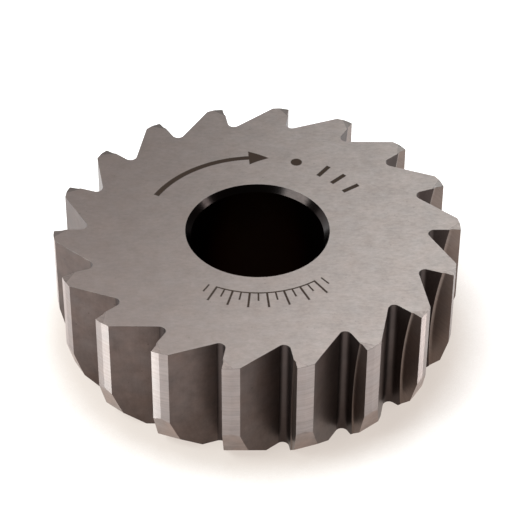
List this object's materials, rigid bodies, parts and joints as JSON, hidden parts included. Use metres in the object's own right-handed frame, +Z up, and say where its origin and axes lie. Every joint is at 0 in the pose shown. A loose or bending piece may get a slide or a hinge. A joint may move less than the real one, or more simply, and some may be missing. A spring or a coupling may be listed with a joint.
{
  "type": "reamer",
  "caption": "Ring-shaped head reaming cutter with straight ground teeth, a tapered lead at the front end and a plain bore that slides on a pilot shaft.",
  "frame": {"origin": "centre of the leading end face, on the axis of the bore", "axes": "+Z runs up the bore from the leading face to the marked face; the first tooth's cutting edge lies in the XZ plane at +X, and the cutting edges lead clockwise as seen from +Z"},
  "size_m": [0.056, 0.0554, 0.0179],
  "materials": {
    "tool_steel": "hardened tool steel, end faces and lands ground bright, flutes left dark"
  },
  "bodies": {
    "root": {"reamer_cutter": "tool_steel"}
  },
  "joints": []
}
